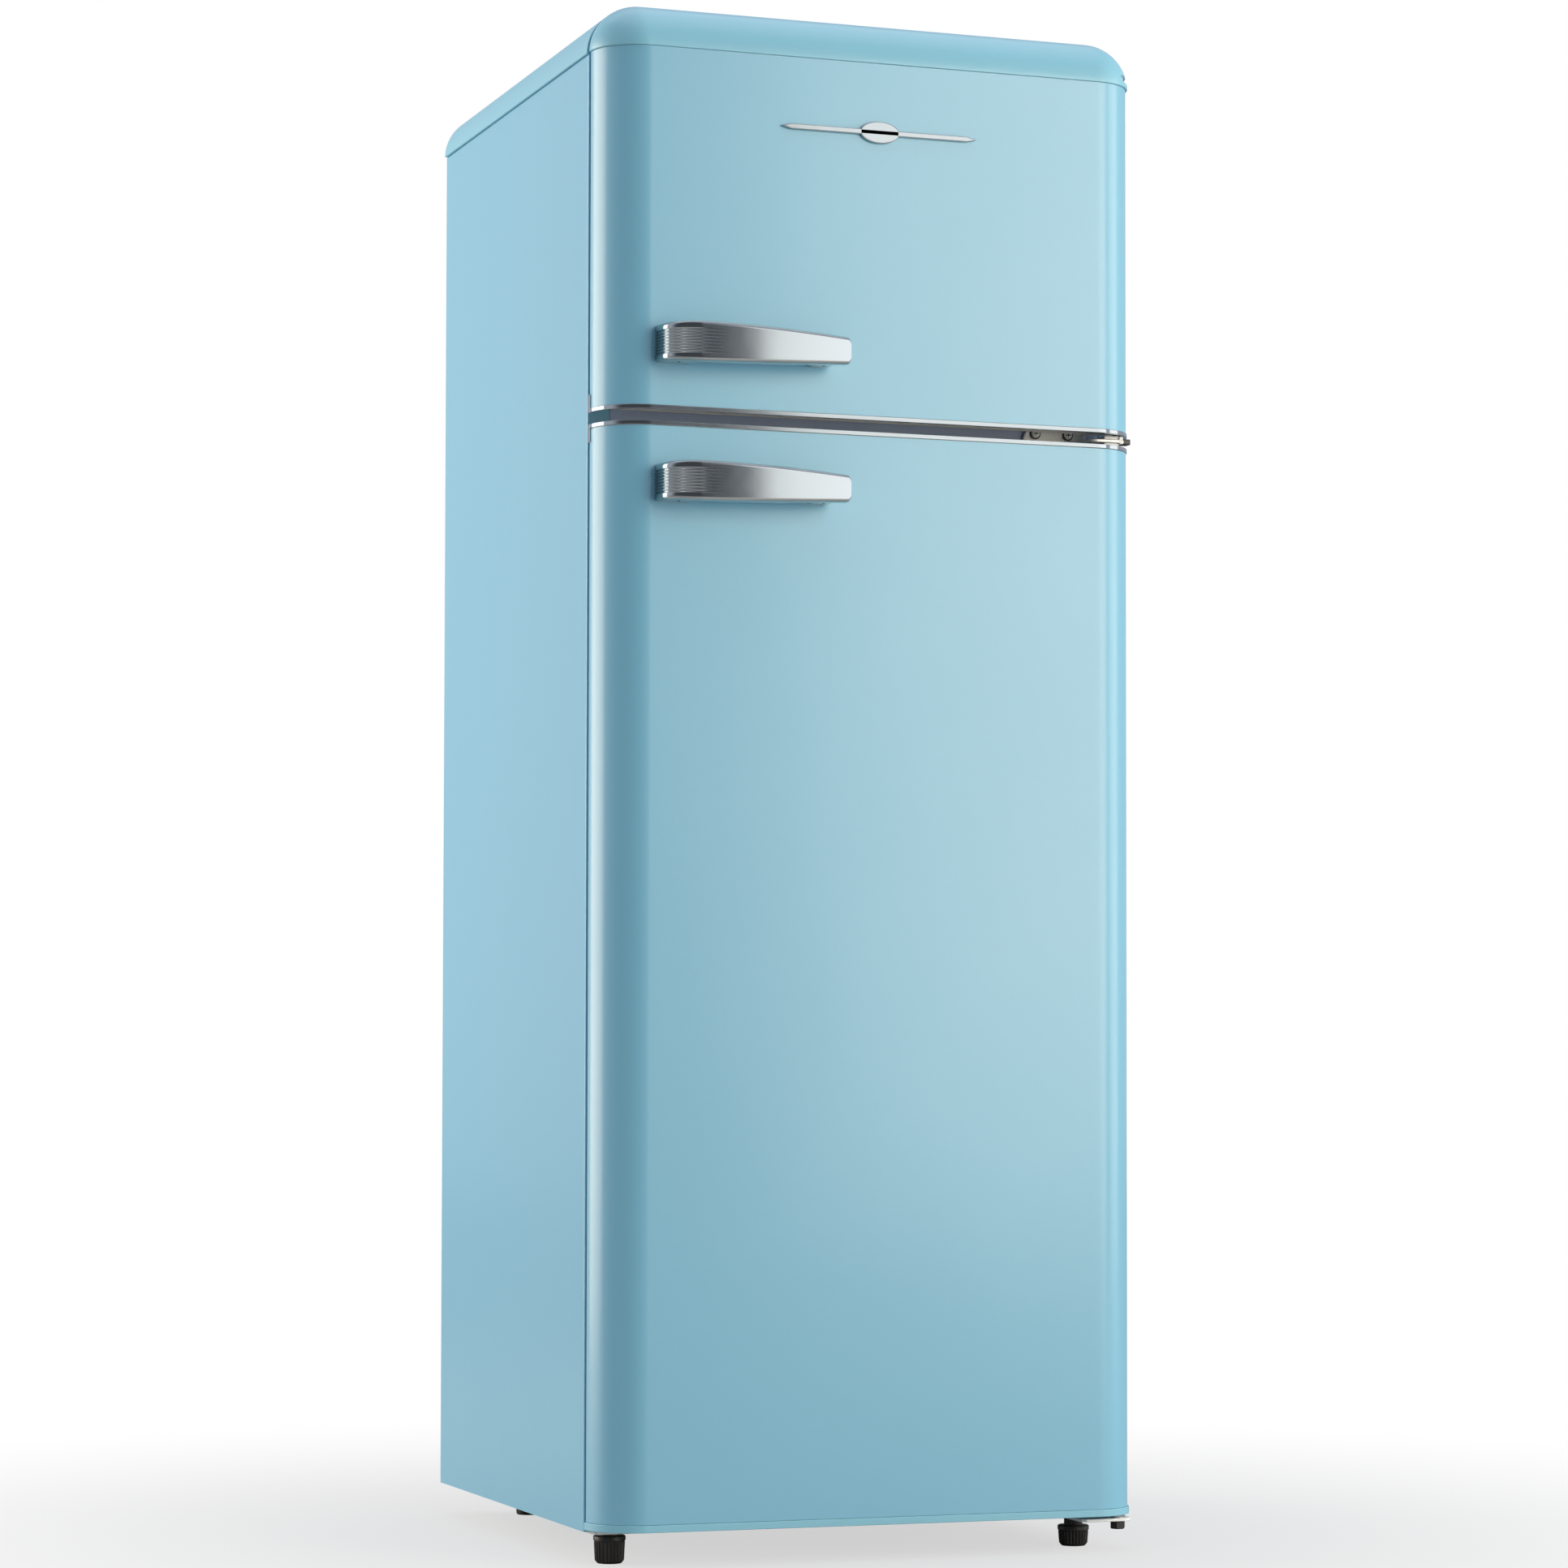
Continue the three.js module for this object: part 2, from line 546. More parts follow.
// ---------------------------------------------------------------- condenser
const TUBE_RADIUS = 2.5;
const WIRE = 1.6;
const WELD = 0.4; // how far a wire sinks into the tube it is welded to
const CONDENSER_RUNS = 13;
const CONDENSER_WIRES = 10;
const CONDENSER_SIDE = SIDE - 40;
const CONDENSER_BOTTOM = NICHE_TOP + 70;
const CONDENSER_TOP = COVER_BOTTOM - 80;
const CLIP_HEIGHT = 16;
function condenser() {
  const wireY = [DEPTH / 2 - WIRE, DEPTH / 2];
  const tubeY = wireY[0] + WELD - TUBE_RADIUS;
  const pitch = (CONDENSER_TOP - CONDENSER_BOTTOM) / (CONDENSER_RUNS - 1);
  const corners = [];
  for (let run = 0; run < CONDENSER_RUNS; run += 1) {
    const z = CONDENSER_BOTTOM + run * pitch;
    const ends = run % 2 ? [CONDENSER_SIDE, -CONDENSER_SIDE] : [-CONDENSER_SIDE, CONDENSER_SIDE];
    for (const x of ends) corners.push([x, tubeY, z]);
  }
  const serpentine = tube(new BentPath(pipeCorners(corners), pitch / 2 - 2, 6), TUBE_RADIUS, 8);
  const straight = CONDENSER_SIDE - pitch / 2;
  const pieces = [];
  for (let i = 0; i < CONDENSER_WIRES; i += 1) {
    const x = -straight + (2 * straight * i) / (CONDENSER_WIRES - 1);
    pieces.push(box(around(x, WIRE / 2), wireY, [CONDENSER_BOTTOM - 12, CONDENSER_TOP + 12]));
  }
  // Clips hold the first and last bend of each side to the cabinet's rear folds.
  const reach = [CONDENSER_SIDE - TUBE_RADIUS - 3, SIDE - 4];
  const lastBendSide = CONDENSER_RUNS % 2 ? -1 : 1;
  for (const hand of [1, -1]) {
    const low = hand > 0 ? 0.5 : 1.5;
    const high = hand === lastBendSide ? 0.5 : 1.5;
    for (const z of [CONDENSER_BOTTOM + low * pitch, CONDENSER_TOP - high * pitch]) {
      const x = hand > 0 ? reach : [-reach[1], -reach[0]];
      pieces.push(box(x, [CABINET_REAR + GAP, tubeY + 1], around(z, CLIP_HEIGHT / 2)));
    }
  }
  return join(serpentine, ...pieces);
}
add('condenser', 'blackSteel', condenser());

// ---------------------------------------------------------------- liners and insulation
const LINER_RADIUS = 12;
// The two hollows, each grown on every side by `more` and opened forward to `mouth`.
function fridgeHollow(more, mouth = CABINET_FRONT) {
  const x = [-FRIDGE_SIDE - more, FRIDGE_SIDE + more];
  return side(outline([
    [mouth, FRIDGE_FLOOR - more], [HUMP_Y + more, FRIDGE_FLOOR - more],
    [HUMP_Y + more, HUMP_TOP - more], [FRIDGE_BACK + more, HUMP_TOP - more],
    [FRIDGE_BACK + more, FRIDGE_CEILING + more], [mouth, FRIDGE_CEILING + more],
  ]), x);
}
function freezerHollow(more, mouth = CABINET_FRONT) {
  const shape = rounded(
    [-FREEZER_SIDE - more, FREEZER_SIDE + more],
    [FREEZER_FLOOR - more, FREEZER_CEILING + more],
    LINER_RADIUS + more,
  );
  return front(shape, [mouth, FREEZER_BACK + more]);
}
// Ledges on both side walls, just under each shelf.
function ledges(wall, y, levels) {
  return levels.flatMap((z) => [-1, 1].map((hand) => box(
    [hand * (wall - LEDGE_WIDTH), hand * (wall + LINER / 2)].sort((a, b) => a - b),
    y,
    [z - GAP - LEDGE_HEIGHT, z - GAP],
  )));
}
const shelfZ = SHELF_LEVELS.map((level) => FRIDGE_FLOOR + level);
const coverZ = FRIDGE_FLOOR + CRISPER_COVER_LEVEL;
const freezerShelfZ = FREEZER_FLOOR + FREEZER_SHELF_LEVEL;
const FREEZER_SHELF_FRONT = FREEZER_BACK - FREEZER_SHELF_DEPTH;
const beyondMouth = CABINET_FRONT - 1;
// The freezer liner's mouth is turned out over the foam, up to the shell's flanges and crossrail.
const freezerLip = front(
  rounded(
    [-FLANGE_EDGE + GAP, FLANGE_EDGE - GAP],
    [FREEZER_FLOOR - LINER, FREEZER_CEILING + LINER],
    0,
  ),
  [CABINET_FRONT, CABINET_FRONT + SHEET],
);
add('freezer_liner', 'whitePlastic', join(
  cut(join(freezerHollow(LINER), freezerLip), freezerHollow(0, beyondMouth)),
  ...ledges(FREEZER_SIDE, [FREEZER_SHELF_FRONT, FREEZER_BACK - GAP], [freezerShelfZ]),
));
add('fridge_liner', 'whitePlastic', join(
  cut(fridgeHollow(LINER), fridgeHollow(0, beyondMouth)),
  ...ledges(FRIDGE_SIDE, [SHELF_FRONT, FRIDGE_BACK - GAP], [coverZ, ...shelfZ]),
));

const EVAPORATOR_THICKNESS = 3;
const evaporatorY = [FREEZER_BACK + LINER + GAP, FREEZER_BACK + LINER + GAP + EVAPORATOR_THICKNESS];
const evaporatorX = [-FREEZER_SIDE + 30, FREEZER_SIDE - 30];
const evaporatorZ = [FREEZER_FLOOR + 30, FREEZER_CEILING - 30];
add('freezer_evaporator', 'aluminium', box(evaporatorX, evaporatorY, evaporatorZ));

function cabinetFoam() {
  const panelTop = BASE_PANEL + SHEET + GAP;
  const nicheTop = NICHE_TOP + SHEET + GAP;
  const block = side(outline([
    [PANEL_FRONT, panelTop], [NICHE_Y - SHEET - GAP, panelTop],
    [NICHE_Y - SHEET - GAP, nicheTop], [BACK_FACE - GAP, nicheTop],
    [BACK_FACE - GAP, SHELL_CEILING], [PANEL_FRONT, SHELL_CEILING],
  ]), [-INNER_SIDE, INNER_SIDE]);
  const railPocket = box(
    [-RAIL_SIDE - GAP, RAIL_SIDE + GAP],
    [CABINET_FRONT, CABINET_FRONT + CROSSRAIL_DEPTH + GAP],
    grow(crossrailZ, GAP),
  );
  const evaporatorPocket = box(
    grow(evaporatorX, GAP),
    [FREEZER_BACK, evaporatorY[1] + GAP],
    grow(evaporatorZ, GAP),
  );
  const more = LINER + GAP;
  return cut(
    block,
    freezerHollow(more, beyondMouth),
    fridgeHollow(more, beyondMouth),
    railPocket,
    evaporatorPocket,
  );
}
add('cabinet_foam', 'foam', cabinetFoam());

// ---------------------------------------------------------------- fittings in the cabinet
// A glass shelf in a moulded frame with a deeper front edge.
function shelf(halfWidth, y, z) {
  const x = [-halfWidth, halfWidth];
  const plate = box(x, y, [z, z + SHELF_GLASS]);
  const frontEdge = box(x, [y[0], y[0] + SHELF_EDGE], [z, z + SHELF_THICKNESS]);
  const rearEdge = box(x, [y[1] - SHELF_EDGE, y[1]], [z, z + SHELF_THICKNESS]);
  return join(plate, frontEdge, rearEdge);
}
const shelfY = [SHELF_FRONT, FRIDGE_BACK - SHELF_CLEARANCE];
const fridgeShelfSide = FRIDGE_SIDE - SHELF_CLEARANCE;
['upper', 'middle', 'lower'].forEach((name, i) => {
  add(`fridge_shelf_${name}`, 'glass', shelf(fridgeShelfSide, shelfY, shelfZ[i]));
});
add('crisper_cover', 'glass', shelf(fridgeShelfSide, shelfY, coverZ));
add('freezer_shelf', 'glass', shelf(
  FREEZER_SIDE - SHELF_CLEARANCE,
  [FREEZER_SHELF_FRONT, FREEZER_BACK - SHELF_CLEARANCE],
  freezerShelfZ,
));

function crisperDrawer() {
  const half = FRIDGE_SIDE - LEDGE_WIDTH - SLIDE_CLEARANCE;
  const x = [-half, half];
  const back = HUMP_Y - SLIDE_CLEARANCE;
  const y = [back - CRISPER_DEPTH, back];
  const z = [FRIDGE_FLOOR + GAP, FRIDGE_FLOOR + CRISPER_HEIGHT];
  const inside = box(
    grow(x, -CRISPER_WALL),
    grow(y, -CRISPER_WALL),
    [z[0] + CRISPER_WALL, z[1] + 1],
  );
  const grip = box(
    around(0, CRISPER_GRIP / 2),
    [y[0] - CRISPER_GRIP_DEPTH, y[0] + CRISPER_WALL / 2],
    [z[1] - 22, z[1] - 16],
  );
  return join(cut(box(x, y, z), inside), grip);
}
add('crisper_drawer', 'clearPlastic', crisperDrawer());

// The control housing on the right wall carries the knob on its front and the lamp on its side.
const HOUSING_DEPTH = 180;
const HOUSING_WIDTH = 48;
const HOUSING_HEIGHT = 92;
const KNOB_RADIUS = 16;
const KNOB_LENGTH = 14;
const housingX = [FRIDGE_SIDE - HOUSING_WIDTH, FRIDGE_SIDE - GAP];
const housingY = [SHELF_FRONT - 30, SHELF_FRONT - 30 + HOUSING_DEPTH];
const housingZ = [FRIDGE_CEILING - 40 - HOUSING_HEIGHT, FRIDGE_CEILING - 40];
const lensY = [housingY[0] + 50, housingY[1] - 20];
const lensZ = [housingZ[0] + 14, housingZ[1] - 14];
add('control_housing', 'whitePlastic', box(housingX, housingY, housingZ));
add('lamp_lens', 'clearPlastic', box([housingX[0] - GAP - 9, housingX[0] - GAP], lensY, lensZ));
add('thermostat_knob', 'greyPlastic', join(
  alongY(KNOB_RADIUS, [housingY[0] - GAP - KNOB_LENGTH, housingY[0] - GAP], 24),
  box(around(0, 2.5), [housingY[0] - GAP - KNOB_LENGTH - 5, housingY[0] - GAP - 2],
    around(0, KNOB_RADIUS - 1)),
).translate(middle(housingX), 0, middle(housingZ)));

// The light switch hangs from the fridge ceiling; its plunger faces the closed door's liner.
const SWITCH_SIZE = 24;
const PLUNGER_RADIUS = 4;
const PAD_HEIGHT = 2.9; // the raised pad on the door liner that works the switch
const PLUNGER_CLEARANCE = 1;
const PLUNGER_LENGTH = 20;
const PLUNGER_TRAVEL = 5;
const LINER_FACE = DOOR_REAR - DOOR_SHEET - GAP;
const SWITCH_INSET = 70;
const switchX = FRIDGE_SIDE - SWITCH_INSET;
const switchY = [CABINET_FRONT + 2, CABINET_FRONT + 2 + SWITCH_SIZE];
const switchZ = [FRIDGE_CEILING - GAP - SWITCH_SIZE, FRIDGE_CEILING - GAP];
const padFace = LINER_FACE + PAD_HEIGHT;
const plungerY = [padFace + PLUNGER_CLEARANCE, padFace + PLUNGER_CLEARANCE + PLUNGER_LENGTH];
const plunger = (radius, y) => alongY(radius, y, 12).translate(switchX, 0, middle(switchZ));
add('door_switch_body', 'whitePlastic', cut(
  box(around(switchX, SWITCH_SIZE / 2), switchY, switchZ),
  plunger(PLUNGER_RADIUS + GAP, [switchY[0] - 1, plungerY[1] + PLUNGER_TRAVEL + 1]),
));
add('door_switch_plunger', 'greyPlastic', plunger(PLUNGER_RADIUS, plungerY));

// ---------------------------------------------------------------- hinges
const pinAt = (z, radius = PIN_RADIUS) => rod(HINGE_X, HINGE_Y, z, radius, 16);
const bearing = (z) => pinAt(z, PIN_RADIUS + PIN_CLEARANCE);

const NUT_RADIUS = 7.5;
const BOTTOM_PIN_TOP = FRIDGE_DOOR_BOTTOM + BOTTOM_CAP_HEIGHT - 1;
const bottomPlateZ = [FOOT_PLATE_UNDERSIDE, FOOT_PLATE_TOP];
function bottomHinge() {
  const tongue = plan(rounded(
    [RIGHT_FOOT_X - 15, HINGE_X + 12],
    [HINGE_Y - 11, CABINET_FRONT + RAIL_LIP],
    [4, 10, 2, 2],
  ), bottomPlateZ);
  const washer = pinAt([FOOT_PLATE_TOP - 1, FRIDGE_DOOR_BOTTOM - 0.5], 7);
  const pin = pinAt([FOOT_PLATE_TOP - 1, BOTTOM_PIN_TOP]);
  const nut = rod(HINGE_X, HINGE_Y, [FOOT_PLATE_UNDERSIDE - 8, FOOT_PLATE_UNDERSIDE + 1], NUT_RADIUS, 6);
  return cut(join(tongue, washer, pin, nut), studHole(RIGHT_FOOT_X, grow(bottomPlateZ, 1)));
}
add('bottom_hinge', 'zinc', bottomHinge());

const MID_PLATE = [170, 236];
const MID_PLATE_CLEARANCE = 2; // above and below, to the gaskets
const MID_PLATE_HALF = CROSSRAIL_HEIGHT / 2 - 1 - GASKET_WIDTH - MID_PLATE_CLEARANCE;
const MID_ARM = [226, HINGE_X + 8];
const MID_PIN_REACH = 14; // how far the pin enters each door's end cap
const freezerCapZ = [FREEZER_DOOR_BOTTOM + CAP_RECESS, FREEZER_DOOR_BOTTOM + CAP_RECESS + PLASTIC];
const fridgeCapZ = [FRIDGE_DOOR_TOP - CAP_RECESS - PLASTIC, FRIDGE_DOOR_TOP - CAP_RECESS];
function midHinge() {
  const plateY = [CABINET_FRONT - GAP - HINGE_PLATE, CABINET_FRONT - GAP];
  const plateZ = around(CROSSRAIL_MIDDLE, MID_PLATE_HALF);
  const r = MID_PLATE_HALF - 1;
  const plate = front(rounded(MID_PLATE, plateZ, [r, 1, 1, r]), plateY);
  const arm = plan(
    rounded(MID_ARM, [HINGE_Y - 8, plateY[1] - 1], [2, 7.5, 0.5, 0.5]),
    around(CROSSRAIL_MIDDLE, HINGE_PLATE / 2),
  );
  const block = pinAt(around(CROSSRAIL_MIDDLE, DOOR_GAP / 2 - 0.5), 7.5);
  const pin = pinAt([fridgeCapZ[1] - MID_PIN_REACH, freezerCapZ[0] + MID_PIN_REACH]);
  return join(plate, arm, block, pin);
}
add('mid_hinge', 'zinc', midHinge());

const TOP_ARM_RISE = 7;
const TOP_ARM_HALF = 7;
const TOP_ARM_CLEARANCE = 1.5;
const TOP_PIN_LENGTH = 18;
const topArmZ = [COVER_BOTTOM + TOP_ARM_RISE, COVER_BOTTOM + TOP_ARM_RISE + HINGE_PLATE];
const topArmX = around(HINGE_X, TOP_ARM_HALF);
function topHinge() {
  const foot = COVER_BOTTOM;
  const step = CABINET_FRONT + PLASTIC + 6;
  const arm = side(outline([
    [HINGE_Y, topArmZ[0]], [step, topArmZ[0]], [step, foot], [step + 50, foot],
    [step + 50, foot + HINGE_PLATE], [step + HINGE_PLATE, foot + HINGE_PLATE],
    [step + HINGE_PLATE, topArmZ[1]], [HINGE_Y, topArmZ[1]],
  ]), topArmX);
  return join(
    arm,
    pinAt(topArmZ, TOP_ARM_HALF),
    pinAt([topArmZ[1] - TOP_PIN_LENGTH, topArmZ[0] + 1]),
  );
}
add('top_hinge', 'zinc', topHinge());

// ---------------------------------------------------------------- rounded top
// A slab of the doors' plan outline, cut off at `rear`. Negative insets stand proud.
function doorSlab(sideInset, frontInset, rear, z) {
  const x = [-SIDE + sideInset, SIDE - sideInset];
  const y = [DOOR_FRONT + frontInset, DOOR_REAR + CORNER];
  const r = CORNER - Math.max(sideInset, frontInset);
  return plan(rounded(x, y, [r, r, 0, 0]), z).intersect(box([-WIDTH, WIDTH], [-DEPTH, rear], z));
}

// One dome covers door and cabinet. Its corners and its upper edges are rounded, and its
// underside and rear are cut flat. An inset moves it inward on every side.
function dome(inset, y, bottom) {
  const round = CAP_HEIGHT - DOME_FLAT - inset;
  const far = DEPTH;
  const base = rounded(
    [-CAP_SIDE + inset + round, CAP_SIDE - inset - round],
    [DOOR_FRONT - CAP_PROUD_FRONT + inset + round, far],
    CORNER - inset - round,
  );
  const geometry = new THREE.ExtrudeGeometry(base, {
    depth: CAP_HEIGHT,
    curveSegments: ARC_STEPS,
    bevelSize: round,
    bevelThickness: round,
    bevelSegments: ARC_STEPS,
  });
  geometry.translate(0, 0, HEIGHT - inset - round - CAP_HEIGHT);
  return solid(geometry).intersect(box([-WIDTH, WIDTH], y, [bottom, HEIGHT]));
}

function topCover() {
  const y = [CABINET_FRONT, CABINET_REAR];
  const inner = dome(PLASTIC, grow(y, -PLASTIC), COVER_BOTTOM - 1);
  const armSlot = box(
    grow(topArmX, TOP_ARM_CLEARANCE),
    around(CABINET_FRONT, 2 * PLASTIC),
    grow(topArmZ, TOP_ARM_CLEARANCE),
  );
  return cut(dome(0, y, COVER_BOTTOM), inner, armSlot);
}
add('top_cover', 'bluePlastic', topCover());

// ---------------------------------------------------------------- doors
const CAP_BOSS = 9;
const CAP_BOSS_HEIGHT = 17;
const RIM_PROUD = 1;
const TAB_HEIGHT = 17;
const TAB_DEPTH = 3;
const SKIN_RETURN = 12;
const toRear = DOOR_REAR + 1;

// A one-piece skin: front, rounded corners, sides and a return along the rear edge.
function doorSkin(z) {
  const inner = doorSlab(DOOR_SHEET, DOOR_SHEET, DOOR_REAR - DOOR_SHEET, grow(z, 1));
  const opening = box(
    [-SIDE + SKIN_RETURN, SIDE - SKIN_RETURN],
    around(DOOR_REAR, 2 * DOOR_SHEET),
    grow(z, 1),
  );
  return cut(doorSlab(0, 0, DOOR_REAR, z), inner, opening);
}

// A chrome rim round the front and sides of an edge, with a tab up or down each rear end.
function doorRim(z, tabZ) {
  const ring = cut(
    doorSlab(-RIM_PROUD, -RIM_PROUD, DOOR_REAR, z),
    doorSlab(RIM_WIDTH, RIM_WIDTH, toRear, grow(z, 1)),
  );
  const tabs = [-1, 1].map((hand) => box(
    [hand * (SIDE + GAP), hand * (SIDE + RIM_PROUD)].sort((a, b) => a - b),
    [DOOR_REAR - TAB_DEPTH, DOOR_REAR],
    tabZ,
  ));
  return join(ring, ...tabs);
}

// A bearing boss, trimmed where it meets the skin's rounded corner.
function capBoss(z) {
  const inset = DOOR_SHEET + GAP;
  return pinAt(z, CAP_BOSS).intersect(doorSlab(inset, inset, DOOR_LINER_FRONT - GAP, z));
}

// A recessed end cap with a bearing boss that points into the door.
function endCap(z, bossZ) {
  const inset = DOOR_SHEET + GAP;
  const plate = doorSlab(inset, inset, DOOR_LINER_FRONT - GAP, z);
  return cut(join(plate, capBoss(bossZ)), bearing(grow(bossZ, 1)));
}

const DOOR_LINER_FRONT = LINER_FACE - LINER;
// The dikes that stand off the door liner on both sides of the racks.
function dikes(outerX, z, inset, rearFrom) {
  return [-1, 1].map((hand) => box(
    [hand * (outerX - DIKE_WIDTH + inset), hand * (outerX - inset)].sort((a, b) => a - b),
    [rearFrom, LINER_FACE + DIKE_DEPTH - inset],
    grow(z, -inset),
  ));
}
function doorLiner(z, dikeX, dikeZ) {
  const half = SIDE - DOOR_SHEET - 3 * GAP;
  const sheet = box([-half, half], [DOOR_LINER_FRONT, LINER_FACE], z);
  const raised = join(sheet, ...dikes(dikeX, dikeZ, 0, DOOR_LINER_FRONT));
  return cut(raised, ...dikes(dikeX, dikeZ, LINER, DOOR_LINER_FRONT - 1));
}
function doorFoam(z, dikeX, dikeZ) {
  const inset = DOOR_SHEET + GAP;
  const block = doorSlab(inset, inset, DOOR_LINER_FRONT - GAP, z);
  return join(block, ...dikes(dikeX, dikeZ, LINER + GAP, DOOR_LINER_FRONT - 2));
}

function gasket(z) {
  const outer = SIDE - GASKET_INSET;
  const y = [LINER_FACE + GAP, CABINET_FRONT - GAP];
  const ring = (inset, yRange) => front(rounded(
    [-outer + inset, outer - inset],
    grow(z, -inset),
    Math.max(GASKET_WIDTH / 2 - inset, 1),
  ), yRange);
  return cut(ring(0, y), ring(GASKET_WIDTH, grow(y, 1)));
}

// A bar handle: wrapped and tall at its left end, tapering to a narrow tip on a short post.
function handle(z) {
  const x0 = -CAP_SIDE + HANDLE_LEFT;
  const x1 = x0 + HANDLE_LENGTH;
  const face = DOOR_FRONT - GAP;
  const out = -DEPTH / 2;
  const inner = out + HANDLE_BAR;
  const profile = new THREE.Shape();
  profile.moveTo(x0, face);
  profile.lineTo(x0 + 7, face - 20);
  profile.quadraticCurveTo(x0 + 12, out, x0 + 28, out);
  profile.quadraticCurveTo(x1 - 60, out, x1, out + 4);
  profile.lineTo(x1, inner);
  profile.lineTo(x1 - 7, face);
  profile.lineTo(x1 - 32, face);
  profile.lineTo(x1 - 36, inner);
  profile.lineTo(x0 + 60, inner);
  profile.quadraticCurveTo(x0 + 44, inner, x0 + 36, face);
  const tall = HANDLE_TALL / 2;
  const tip = HANDLE_TIP / 2;
  const end = tall * 0.62;
  const elevation = new THREE.Shape();
  elevation.moveTo(x0 - 1, z - end);
  elevation.quadraticCurveTo(x0 + 14, z - tall, x0 + 34, z - tall);
  elevation.quadraticCurveTo(x1 - 60, z - tall, x1, z - tip - 1);
  elevation.lineTo(x1 + 1, z + tip - 3);
  elevation.quadraticCurveTo(x1 - 60, z + tall - 1, x0 + 34, z + tall);
  elevation.quadraticCurveTo(x0 + 14, z + tall, x0 - 1, z + end);
  return plan(profile, around(z, HANDLE_TALL)).intersect(front(elevation, [out - 1, face + 1]));
}

// An open rack between the dikes.
function rack(dikeX, z, depth) {
  const half = dikeX - DIKE_WIDTH - 2 * GAP;
  const x = [-half, half];
  const y = [LINER_FACE + GAP, LINER_FACE + depth];
  const inside = box(grow(x, -RACK_WALL), grow(y, -RACK_WALL), [z[0] + RACK_WALL, z[1] + 1]);
  return cut(box(x, y, z), inside);
}

// ---------------------------------------------------------------- freezer door
const freezerSkinZ = [FREEZER_DOOR_BOTTOM + RIM_HEIGHT + GAP, COVER_BOTTOM - GAP];
const freezerDikeX = FREEZER_SIDE - DIKE_CLEARANCE;
const freezerDikeZ = [FREEZER_FLOOR + DIKE_CLEARANCE, FREEZER_CEILING - DIKE_CLEARANCE];
const freezerBossZ = [freezerCapZ[0], freezerCapZ[0] + CAP_BOSS_HEIGHT];
const topBossZ = [COVER_BOTTOM - 9, topArmZ[0] - TOP_ARM_CLEARANCE];
add('freezer_door_skin', 'bluePaint', doorSkin(freezerSkinZ));
add('freezer_door_rim', 'chrome', doorRim(
  [FREEZER_DOOR_BOTTOM, FREEZER_DOOR_BOTTOM + RIM_HEIGHT],
  [FREEZER_DOOR_BOTTOM, FREEZER_DOOR_BOTTOM + TAB_HEIGHT],
));
add('freezer_door_bottom_cap', 'greyPlastic', endCap(freezerCapZ, freezerBossZ));
add('freezer_door_liner', 'whitePlastic', doorLiner(freezerSkinZ, freezerDikeX, freezerDikeZ));
add('freezer_gasket', 'gasket', gasket([CROSSRAIL_TOP - 1 - GASKET_WIDTH, COVER_BOTTOM - 2]));

// The top hinge's arm enters the cap through a slot that opens to the rear and to the side.
function hingeSlot() {
  const reach = TOP_ARM_HALF + TOP_ARM_CLEARANCE;
  const z = grow(topArmZ, TOP_ARM_CLEARANCE);
  const swept = box([HINGE_X - reach, WIDTH], [HINGE_Y - reach, DOOR_REAR + 1], z);
  const limit = box([0, WIDTH], around(0, reach), z).rotate(0, 0, 90 - DOOR_SWING);
  return join(swept, limit.translate(HINGE_X, HINGE_Y, 0), pinAt(z, reach));
}
function freezerTopCap() {
  const y = [-DEPTH / 2, DOOR_REAR];
  const outer = dome(0, y, COVER_BOTTOM);
  const inner = dome(PLASTIC, grow(y, -PLASTIC), COVER_BOTTOM - 1);
  const pocketX = [HINGE_X - CAP_POCKET, CAP_SIDE];
  const pocketZ = [COVER_BOTTOM, topArmZ[1] + TOP_ARM_CLEARANCE + PLASTIC];
  const filling = outer.intersect(box(pocketX, [HINGE_Y - CAP_POCKET, DOOR_REAR], pocketZ));
  const shell = join(cut(outer, inner), filling, capBoss(topBossZ));
  return cut(shell, hingeSlot(), bearing(grow(topBossZ, 1)));
}
add('freezer_door_top_cap', 'bluePlastic', freezerTopCap());

function freezerFoam() {
  const z = [freezerCapZ[1] + GAP, COVER_BOTTOM - GAP];
  const y = [-DEPTH / 2, DOOR_LINER_FRONT - GAP];
  const inset = PLASTIC + GAP;
  const crown = dome(inset, y, COVER_BOTTOM - 1)
    .intersect(doorSlab(inset, inset, DOOR_REAR, [COVER_BOTTOM - 1, HEIGHT]));
  const pocket = box(
    [HINGE_X - CAP_POCKET - GAP, CAP_SIDE],
    [HINGE_Y - CAP_POCKET - GAP, DOOR_REAR],
    [topBossZ[0] - GAP, topArmZ[1] + TOP_ARM_CLEARANCE + PLASTIC + GAP],
  );
  const block = join(doorFoam(z, freezerDikeX, freezerDikeZ), crown);
  return cut(block, pocket, pinAt(grow(freezerBossZ, GAP), CAP_BOSS + GAP),
    pinAt([topArmZ[1] - TOP_PIN_LENGTH - 2, COVER_BOTTOM], CAP_BOSS + GAP));
}
add('freezer_door_foam', 'foam', freezerFoam());

add('freezer_handle', 'chrome', handle(FREEZER_DOOR_BOTTOM + HANDLE_ABOVE_RIM));
add('freezer_rack_upper', 'clearPlastic', rack(
  freezerDikeX,
  [freezerShelfZ + 20, freezerShelfZ + 20 + FREEZER_RACK_HEIGHT],
  FREEZER_RACK_DEPTH,
));
add('freezer_rack_lower', 'clearPlastic', rack(
  freezerDikeX,
  [FREEZER_FLOOR + 24, FREEZER_FLOOR + 24 + FREEZER_RACK_HEIGHT],
  FREEZER_RACK_DEPTH,
));

